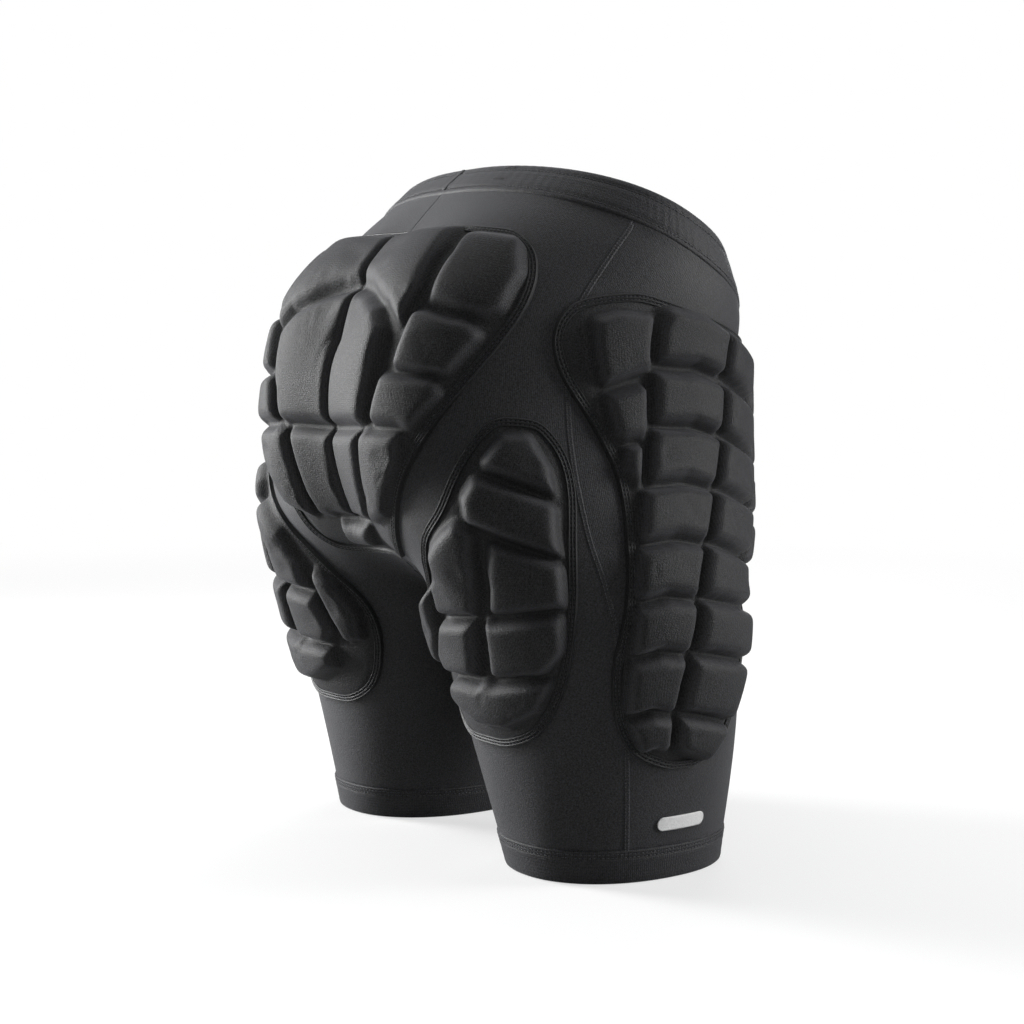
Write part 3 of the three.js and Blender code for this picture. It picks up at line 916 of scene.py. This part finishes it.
def swollen(top, bottom, free):
    """A pad's top sheet after a cloth simulation: sewn down where free is 0, swelling elsewhere."""
    scene = bpy.context.scene
    sheet = top[::CLOTH_STEP, ::CLOTH_STEP]
    rows, columns = sheet.shape[:2]
    start = sheet.reshape(-1, 3)
    quads = grid_faces(rows, columns, False, False)[0]
    data = make_mesh("cloth_trial", start, quads.tolist())
    data.update()
    normals = np.empty(start.size)
    data.vertices.foreach_get("normal", normals)
    upwards = (top - bottom)[::CLOTH_STEP, ::CLOTH_STEP].reshape(-1, 3)
    if (normals.reshape(-1, 3) * upwards).sum() < 0:
        data.flip_normals()
    trial = add_object("cloth_trial", data)
    sewn = trial.vertex_groups.new(name="sewn")
    for index, weight in enumerate(1 - free[::CLOTH_STEP, ::CLOTH_STEP].ravel()):
        sewn.add([index], float(weight), "REPLACE")
    cloth = trial.modifiers.new("cloth", "CLOTH")
    for setting, value in CLOTH_SETTINGS.items():
        setattr(cloth.settings, setting, value)
    cloth.settings.effector_weights.gravity = 0
    cloth.collision_settings.use_collision = False
    cloth.point_cache.frame_start = 1
    cloth.point_cache.frame_end = CLOTH_FRAMES
    for moment in range(1, CLOTH_FRAMES + 1):
        scene.frame_set(moment)
    shape = trial.evaluated_get(bpy.context.evaluated_depsgraph_get())
    found = np.empty(start.size)
    shape.data.vertices.foreach_get("co", found)
    scene.frame_set(1)
    bpy.data.objects.remove(trial)
    moved = found.reshape(-1, 3) - start
    length = np.linalg.norm(moved, axis=-1, keepdims=True)
    moved *= CLOTH_CAP * MM / np.sqrt((CLOTH_CAP * MM) ** 2 + length**2)
    moved = relaxed(moved.reshape(rows, columns, 3), 1)
    cell = np.stack(np.indices(top.shape[:2]), -1) / CLOTH_STEP
    return top + read_grid(moved, cell) * free[..., None]


def pad_cover(name, chart, origin, outline, blocks, foot, block_top, replaced):
    """A moulded cover: a flat margin, grooves and raised blocks, closed underneath."""
    rows = int((outline[-1, 0] - outline[0, 0]) / PAD_GRID)
    level = np.linspace(outline[0, 0], outline[-1, 0], rows)
    edges = through(outline, level)
    ends = flatten(chart, origin, edges, level[:, None] + 0 * edges)[..., 0]
    width = np.abs(ends[:, 1] - ends[:, 0])
    columns = int(width.max() / PAD_GRID)
    share = np.linspace(0, 1, columns)
    u = edges[:, :1] + (edges[:, 1:] - edges[:, :1]) * share
    level = level[:, None] + 0 * u
    places = flatten(chart, origin, u, level)
    rise, edge = block_relief(chart, origin, blocks, foot)(places)
    to_side = np.minimum(share, 1 - share)[None, :] * width[:, None]
    to_end = np.minimum(level - outline[0, 0], outline[-1, 0] - level)
    margin = ease(np.minimum(to_side, to_end) / MARGIN)
    floor = FLANGE + (FLOOR - FLANGE) * margin
    from_edge = ease(np.minimum(to_side, to_end + END_ALLOWANCE) / EDGE_FADE)
    height = floor + (block_top - floor) * rise * from_edge
    top = relaxed(above(chart, u, level, height), 1)
    bottom = above(chart, u, level, PAD_BOTTOM)
    top = swollen(top, bottom, ease(rise / SEWN_RISE) * margin)
    rings = np.concatenate([top, bottom[:, ::-1]], 1)
    points, faces, uv = tube(rings, (1, 1), False)
    flat = np.concatenate([places, places[:, ::-1]], 1).reshape(-1, 2)
    points, faces, uv = outward(points, faces, uv)
    uv = np.array([flat[i] for f in faces for i in f])
    result = make_object(name, points, faces, uv, PAD_COVER, replaced)
    # The shoulder band goes to the cover's material, which paints it paler as highlight and wear.
    edge_wear_and_highlight = result.data.attributes.new("edge", "FLOAT", "POINT")
    edge_wear_and_highlight.data.foreach_set("value", np.concatenate([edge, 0 * edge], 1).ravel().astype(np.float32))


def mirrored(block):
    """The same outline on the other side of the middle."""
    return [(-u, level) for u, level in block]


# Each block is an outline near the edge of its flat top: (u, level) corners on the pad's chart.
SEAT_HALF_BLOCKS = [
    [(3, 339), (62, 340), (72, 316), (69, 304), (58, 312), (20, 321), (3, 324)],
    [(77, 338), (104, 338), (114, 326), (114, 312), (108, 308), (84, 313)],
    [(78, 304), (105, 302), (109, 297), (99, 278), (73, 281)],
    [(65, 272), (94, 271), (97, 266), (86, 252), (59, 253)],
    [(3, 316), (28, 313), (46, 306), (56, 297), (53, 273), (47, 253), (3, 253)],
    [(3, 246), (40, 246), (35, 219), (30, 208), (3, 207)],
    [(47, 246), (76, 246), (76, 236), (60, 212), (40, 207)],
]
SEAT_LOW_BLOCK = [(-16, 202), (16, 202), (12, 194), (-12, 194)]


def seat_blocks():
    """A low block in the middle and seven pairs of blocks."""
    blocks = [SEAT_LOW_BLOCK]
    for block in SEAT_HALF_BLOCKS:
        blocks += [block, mirrored(block)]
    return blocks


HIP_REAR_BLOCKS = [
    [(20, 312), (15, 317), (8, 319), (7, 296), (17, 284)],
    [(16, 272), (8, 280), (8, 254), (14, 254)],
    [(12, 244), (9, 247), (9, 231), (12, 236)],
]
HIP_FAR_BLOCKS = [
    [(-46, 302), (-58, 297), (-62, 286), (-60, 274), (-46, 279)],
    [(-46, 269), (-59, 265), (-59, 243), (-46, 247)],
    [(-45, 236), (-56, 232), (-55, 212), (-44, 216)],
    [(-43, 206), (-51, 202), (-48, 184), (-41, 187)],
]
# Two columns run down the hip pad: the top and bottom level of each row, and three edge curves.
HIP_ROWS = [
    (326, 302), (289, 266), (255, 232), (222, 200), (193, 170), (163, 141), (133, 107), (99, 84),
]
HIP_REAR_EDGE = np.array([
    [80, 19], [105, 23.5], [132, 21], [165, 15.5], [199, 10], [240, 6.5], [282, 4.5], [330, 4],
], float)
HIP_GROOVE = np.array([
    [60, 8], [98, 7], [132, 1], [172, -7], [212, -12], [260, -16.5], [306, -18.5], [331, -18.5],
], float)
HIP_FRONT_EDGE = np.array([
    [60, 4], [79, -10], [110, -24], [146, -34], [204, -39], [258, -42], [331, -40],
], float)

# Degrees from the groove's middle to a block's top, and millimetres that a row's rear blocks arch
# and its front blocks slope down to the front.
GROOVE_HALF = 2.0
GROOVE_ARCH = 2.5
FRONT_DROP = 10.0


def hip_blocks():
    """Eight rows of two blocks, with arched ends, and the odd ones behind and in front of them."""
    blocks = HIP_REAR_BLOCKS + HIP_FAR_BLOCKS
    for top, bottom in HIP_ROWS:
        upper = [(top, 0), (top, 0.5), (top, 1)]
        lower = [(bottom, 1), (bottom, 0.5), (bottom, 0)]
        middle = (top + bottom) / 2
        line = []
        for level, share in upper + [(middle, 1)] + lower + [(middle, 0)]:
            rear = through(HIP_REAR_EDGE, level)[0]
            fore = through(HIP_GROOVE, level)[0] + GROOVE_HALF
            rise = GROOVE_ARCH * (1 - (2 * share - 1) ** 2)
            line.append((rear + (fore - rear) * share, level + rise))
        blocks.append(line)
        line = []
        for level, share in upper + lower:
            rear = through(HIP_GROOVE, level)[0] - GROOVE_HALF
            fore = through(HIP_FRONT_EDGE, level - FRONT_DROP)[0]
            line.append((rear + (fore - rear) * share, level - FRONT_DROP * share))
        blocks.append(line)
    return blocks


# The thigh pad is flattened from the line at THIGH_ORIGIN degrees. THIGH_LOWER is added to the
# level of every corner.
THIGH_ORIGIN = 60
THIGH_LOWER = -4
THIGH_BLOCKS = [
    [(48, 239), (42, 250), (36, 251), (33, 238), (33, 228)],
    [(52, 231), (34, 219), (37, 198), (58, 214), (57, 222)],
    [(63, 210), (60, 206), (73, 179), (78, 165), (95, 163), (92, 177), (80, 195)],
    [(55, 199), (39, 190), (43, 170), (69, 166), (62, 186)],
    [(97, 155), (81, 158), (86, 128), (102, 127), (105, 136)],
    [(73, 159), (45, 165), (47, 147), (56, 134), (76, 129)],
    [(101, 120), (54, 127), (60, 112), (75, 100), (88, 100), (102, 111)],
    [(101, 171), (113, 130), (119, 132), (119, 148), (109, 167)],
]


def thigh_blocks():
    """The thigh pad's outlines at their real levels."""
    return [[(u, level + THIGH_LOWER) for u, level in block] for block in THIGH_BLOCKS]


def outline_path(chart, outline):
    """The rounded edge of a pad as an even chart path."""
    level = np.arange(outline[0, 0], outline[-1, 0], 2.0)
    edges = through(outline, level)
    u = np.concatenate([edges[:, 0], edges[::-1, 1]])
    level = np.concatenate([level, level[::-1]])
    u, level = even_path(chart, u, level, True, 1.7)
    return softened(u, 14), softened(level, 14)


RIDGE_PITCH = 1.9
BINDING_HALF = 3.1
BINDING_LOW = 0.2
TAPE_THREAD = 2.35


def binding_profile():
    """Three raised cords with a sewn groove between each two."""
    across = np.linspace(-BINDING_HALF, BINDING_HALF, 33)
    cords = np.abs(np.cos(math.pi * across / RIDGE_PITCH)) ** 0.8
    edge = ease((BINDING_HALF - np.abs(across)) / 0.9)
    height = (1.7 + 1.1 * cords) * edge + BINDING_LOW * (1 - edge)
    lower = np.stack([across[::-1][1:-1], 0 * across[1:-1] + BINDING_LOW - 0.3], -1)
    return np.concatenate([np.stack([across, height], -1), lower])


def rows_of_stitches(name, runs, slot_name):
    """Rows of thread, as one piece named after what they are sewn to."""
    make_object(f"{name}_thread", *joined([stitches(*run) for run in runs]), THREAD, (), slot_name)


def bound_edge(name, chart, outline):
    """A pad's edge tape and its two rows of thread."""
    u, level = outline_path(chart, outline)
    make_object(name, *ribbon(chart, u, level, binding_profile(), True), BINDING_TAPE, (name,))
    runs = [(chart, u, level, True, side * RIDGE_PITCH / 2, TAPE_THREAD) for side in (-1, 1)]
    rows_of_stitches(name, runs, "binding_tape")


def pad(part, word, chart, origin, outline, blocks, foot, block_top):
    """One pad: its cover, which stands for the foam too, and its edge tape."""
    cover = f"{part}_cover{word}"
    nodes = (f"{part}_foam{word}", cover)
    pad_cover(cover, chart, origin, outline, blocks, foot, block_top, nodes)
    bound_edge(f"{part}_binding{word}", chart, outline)


def pads():
    """The seat pad, then a hip pad and a thigh pad on each side."""
    pad("seat_pad", "", seat_chart, 0, SEAT_OUTLINE, seat_blocks(), SEAT_FOOT, SEAT_BLOCK_TOP)
    for side, word in SIDES:
        leg = (f"_{word}", leg_chart(side))
        pad("hip_pad", *leg, 0, HIP_OUTLINE, hip_blocks(), HIP_FOOT, BLOCK_TOP)
        pad("thigh_pad", *leg, THIGH_ORIGIN, THIGH_OUTLINE, thigh_blocks(), THIGH_FOOT, BLOCK_TOP)


# ---- bands and seams ----

GATHERS = 110
GATHER_WAVES = 7


def ring_band(name, chart, turns, profile, replaced, ripple=0.0):
    """A band with one cross section (level, height) swept right round a chart."""
    profile = np.asarray(profile, float)
    turn = np.linspace(0, 360, turns + 1)[:-1]
    angle = np.radians(turn)
    gather = 1 + ripple * np.sin(angle * GATHERS) * (1 + 0.4 * np.sin(angle * GATHER_WAVES))
    level = profile[None, :, 0] + 0 * turn[:, None]
    height = profile[None, :, 1] * gather[:, None]
    points = above(chart, turn[:, None] + 0 * level, level, height)
    around = np.linalg.norm(np.diff(points[:, 0], axis=0), axis=-1).mean() / MM
    make_object(name, *outward(*tube(points, (around, 1.2), True)), BAND_KNIT, replaced)


# Cross sections: level and height above the knit, round the folded band.
HEM_PROFILE = [
    (20.0, -0.9), (20.2, 0.1), (19.8, 0.7), (18.9, 0.75), (18.3, 0.35), (17.7, 0.75), (16.9, 0.8),
    (16.2, 0.35), (15.5, 0.8), (13.5, 0.95), (11.0, 0.8), (8.0, 0.9), (5.0, 0.85), (2.5, 0.95),
    (0.9, 0.75), (0.1, 0.1), (0.0, -0.7), (0.6, -1.4), (2.5, -1.75), (6.0, -1.7), (10.0, -1.75),
    (14.0, -1.7), (17.0, -1.7), (19.4, -1.6),
]
HEM_STITCH_LEVELS = (18.3, 16.2)
WAIST_PROFILE = [
    (361.0, -0.4), (361.2, 0.7), (362.0, 1.35), (363.2, 1.5), (364.2, 1.1), (365.4, 1.6),
    (368.0, 1.9), (372.0, 1.7), (376.0, 1.8), (379.4, 1.75), (380.8, 1.2), (382.2, 1.7),
    (384.2, 1.6), (386.0, 1.2), (387.0, 0.4), (387.3, -0.6), (387.0, -1.6), (385.6, -2.4),
    (382.0, -2.7), (376.0, -2.8), (370.0, -2.8), (364.0, -2.7), (361.8, -2.2), (361.0, -1.4),
]
WAIST_STITCH_LEVELS = (364.2, 380.8)


def hems():
    turn = np.linspace(0, 360, 241)[:-1]
    for side, word in SIDES:
        chart = leg_chart(side)
        name = f"hem_band_{word}"
        ring_band(name, chart, 300, HEM_PROFILE, (name,))
        runs = [(chart, turn, 0 * turn + level, True, 0.0, 0.7) for level in HEM_STITCH_LEVELS]
        rows_of_stitches(name, runs, "band_knit")


# Across the seam, then height above the knit. The waistband's seam sits on top of the band.
SEAM_PROFILE = [
    (-1.7, -0.5), (-1.7, 0.05), (-1.3, 0.3), (-0.6, 0.36), (0, 0.16), (0.6, 0.36), (1.3, 0.3),
    (1.7, 0.05), (1.7, -0.5), (0.8, -0.6), (0, -0.6), (-0.8, -0.6),
]
BAND_SEAM_PROFILE = [(across, height + 1.75) for across, height in SEAM_PROFILE]
BAR_TACK_X = -48.0
BAR_TACK_LEVELS = (370.0, 383.0)
BAR_TACK_HALF = 4.0


def band_seam():
    """The joint of the waistband at the middle of the back, and two bar tacks beside it."""
    level = np.arange(364.0, 386.0, 1.0)
    sheet = ribbon(seat_chart, 0 * level, level, BAND_SEAM_PROFILE, False)
    make_object("waistband_seam", *sheet, BAND_KNIT)
    runs = []
    for middle in BAR_TACK_LEVELS:
        for lane in (-0.7, 0, 0.7):
            u = np.linspace(BAR_TACK_X - BAR_TACK_HALF, BAR_TACK_X + BAR_TACK_HALF, 12)
            runs.append((seat_chart, u, 0 * u + middle + lane, False, 0.0, 1.9, 1.3, 1.2, 0.3))
    make_object("bar_tacks", *joined([stitches(*run) for run in runs]), THREAD, (), "band_knit")


def waistband():
    turn = np.linspace(0, 360, 361)[:-1]
    nodes = ("waistband_casing", "waistband_elastic")
    ring_band("waistband_casing", ring_surface, 720, WAIST_PROFILE, nodes, ripple=0.03)
    runs = [(ring_surface, turn, 0 * turn + level, True, 0.0, 1.5) for level in WAIST_STITCH_LEVELS]
    rows_of_stitches("waistband", runs, "band_knit")
    band_seam()


def flat_seam(name, chart, u, low, high):
    """A flat-locked seam: a narrow raised band with two rows of stitches."""
    level = np.arange(low, high, 2.0)
    path = u + 0 * level
    make_object(name, *ribbon(chart, path, level, SEAM_PROFILE, False), STRETCH_KNIT)
    runs = [(chart, path, level, False, offset, 0.3, 2.2, 1.5, 0.2) for offset in (-0.9, 0.9)]
    rows_of_stitches(name, runs, "stretch_knit")


INNER_SEAM_TOP = 128
CENTRE_BACK_LOW = 198
CENTRE_FRONT_LOW = 190


def seams():
    for side, word in SIDES:
        chart = leg_chart(side)
        flat_seam(f"rear_seam_{word}", chart, SEAM_REAR, HEM_TOP, SEAM)
        flat_seam(f"front_seam_{word}", chart, SEAM_FRONT, HEM_TOP, SEAM)
        flat_seam(f"inner_seam_{word}", chart, 180, HEM_TOP, INNER_SEAM_TOP)
    flat_seam("centre_back_seam", seat_chart, 0, CENTRE_BACK_LOW, SEAM)
    flat_seam("centre_front_seam", front_chart, 0, CENTRE_FRONT_LOW, SEAM)


MARK_LEVEL = 34.0
MARK_HALF_HEIGHT = 4.0
MARK_REAR = 10.0
MARK_FRONT = -14.0


def side_mark():
    """A plain pale bar with round ends, pressed on to the right leg."""
    chart = leg_chart(RIGHT)
    width = abs(flatten(chart, MARK_REAR, MARK_FRONT, MARK_LEVEL)[0])
    s = (1 - np.cos(np.linspace(0, math.pi, 60))) / 2
    from_end = np.minimum(s, 1 - s) * width
    inward = np.clip(1 - from_end / MARK_HALF_HEIGHT, 0, 1)
    half = MARK_HALF_HEIGHT * np.sqrt(np.maximum(1 - inward**2, 0.002))
    t = np.linspace(-1, 1, 13)
    u = MARK_REAR + (MARK_FRONT - MARK_REAR) * s[:, None] + 0 * t
    level = MARK_LEVEL + half[:, None] * t
    top = above(chart, u, level, 0.85 + 0 * u)
    bottom = above(chart, u, level, -0.2 + 0 * u)
    points, faces, uv = tube(np.concatenate([top, bottom[:, ::-1]], 1), (2, 1), False)
    make_object("side_mark", *outward(points, faces, uv), PALE_TRANSFER, ("side_mark",))


# ---- stage and camera ----

# The share of plain white in the floor goes from FLOOR_NEAR_WHITE to 1 between two distances, in
# metres. The card under it is paler to the camera than to light that bounces off it.
FLOOR_RADIUS = 12.0
FLOOR_DROP = -0.0004
FLOOR_FADE = (0.35, 2.2)
FLOOR_NEAR_WHITE = 0.62
FLOOR_SEEN = 0.82
FLOOR_UNSEEN = 0.32

# name, place in metres, width and height in metres, power in watts
SOFTBOXES = [
    ("left_box", (1.22, 0.80, 0.50), (0.5, 1.5), 66),
    ("right_box", (-0.95, -1.10, 0.60), (0.5, 1.4), 25),
    ("top_box", (0.25, -0.05, 1.90), (1.0, 1.0), 7),
    ("front_box", (1.10, -1.30, 1.00), (0.8, 1.2), 12),
    ("fill_box", (-1.30, 0.90, 0.90), (0.8, 0.8), 4),
]
AMBIENT_COLOUR = (0.95, 0.97, 1.0, 1)
AMBIENT_STRENGTH = 0.12
FOCAL_LENGTH = 65.15
SENSOR_WIDTH = 36
CAMERA_PLACE = (-0.9718, 0.6856 + DEPTH_SHIFT * MM, 0.2921)
CAMERA_DIRECTION = (0.8147, -0.5753, -0.0727)


def floor_material():
    """Pale card that whitens with distance; it sends little light back under the object."""
    material = bpy.data.materials.new("studio_floor")
    tree = shading(material)
    camera_ray = node(tree, "LightPath", {}).outputs["Is Camera Ray"]
    place = node(tree, "TexCoord", {})
    distance = node(tree, "VectorMath", {0: place.outputs["Object"]})
    distance.operation = "LENGTH"
    near, far = FLOOR_FADE
    span = {"From Min": near, "From Max": far, "To Min": FLOOR_NEAR_WHITE}
    fade = node(tree, "MapRange", {**span, "Value": distance.outputs["Value"]})
    fade.interpolation_type = "SMOOTHSTEP"
    span = {"To Min": FLOOR_UNSEEN, "To Max": FLOOR_SEEN}
    paleness = node(tree, "MapRange", {**span, "Value": camera_ray})
    card = tree.nodes["Principled BSDF"]
    set_inputs(tree, card, {"Roughness": 0.9, "Base Color": paleness.outputs["Result"]})
    seen = arithmetic(tree, "MULTIPLY", fade.outputs["Result"], camera_ray)
    white = node(tree, "Emission", {}).outputs[0]
    mix = node(tree, "MixShader", {0: seen, 1: card.outputs[0], 2: white})
    set_inputs(tree, tree.nodes["Material Output"], {"Surface": mix.outputs[0]})
    return material


def studio_floor():
    """A wide round floor just under the hems."""
    mesh = bmesh.new()
    bmesh.ops.create_circle(mesh, cap_ends=True, segments=96, radius=FLOOR_RADIUS)
    data = bpy.data.meshes.new("studio_floor")
    mesh.to_mesh(data)
    mesh.free()
    data.materials.append(floor_material())
    floor = add_object("studio_floor", data)
    floor.location.z = FLOOR_DROP


def softbox(name, location, target, size, power):
    """A rectangular lamp that faces the target and that the camera doesn't see."""
    lamp = bpy.data.lights.new(name, "AREA")
    lamp.shape = "RECTANGLE"
    lamp.size = size[0]
    lamp.size_y = size[1]
    lamp.energy = power
    holder = add_object(name, lamp)
    holder.location = location
    holder.rotation_euler = (target - holder.location).to_track_quat("-Z", "Y").to_euler()
    holder.visible_camera = False


def studio():
    """Tall soft lamps on both sides of the camera's view, and white all round."""
    studio_floor()
    centre = bounds_before[0].lerp(bounds_before[1], 0.5)
    for name, location, size, power in SOFTBOXES:
        softbox(name, location, centre, size, power)
    world = bpy.data.worlds.new("studio_world")
    tree = shading(world)
    ambient = tree.nodes["Background"]
    set_inputs(tree, ambient, {"Color": AMBIENT_COLOUR, "Strength": AMBIENT_STRENGTH})
    camera_ray = node(tree, "LightPath", {}).outputs["Is Camera Ray"]
    backdrop = node(tree, "Background", {"Color": (1, 1, 1, 1)}).outputs[0]
    mix = node(tree, "MixShader", {0: camera_ray, 1: ambient.outputs[0], 2: backdrop})
    set_inputs(tree, tree.nodes["World Output"], {"Surface": mix.outputs[0]})
    bpy.context.scene.world = world
    bpy.context.scene.view_settings.view_transform = "Standard"


def camera():
    """The photograph's viewpoint."""
    lens = bpy.data.cameras.new("camera")
    lens.lens = FOCAL_LENGTH
    lens.sensor_width = SENSOR_WIDTH
    holder = add_object("camera", lens)
    holder.location = CAMERA_PLACE
    forward = Vector(CAMERA_DIRECTION)
    holder.rotation_euler = forward.to_track_quat("-Z", "Y").to_euler()
    bpy.context.scene.camera = holder


knitted_panels()
hems()
waistband()
seams()
pads()
side_mark()
studio()
camera()
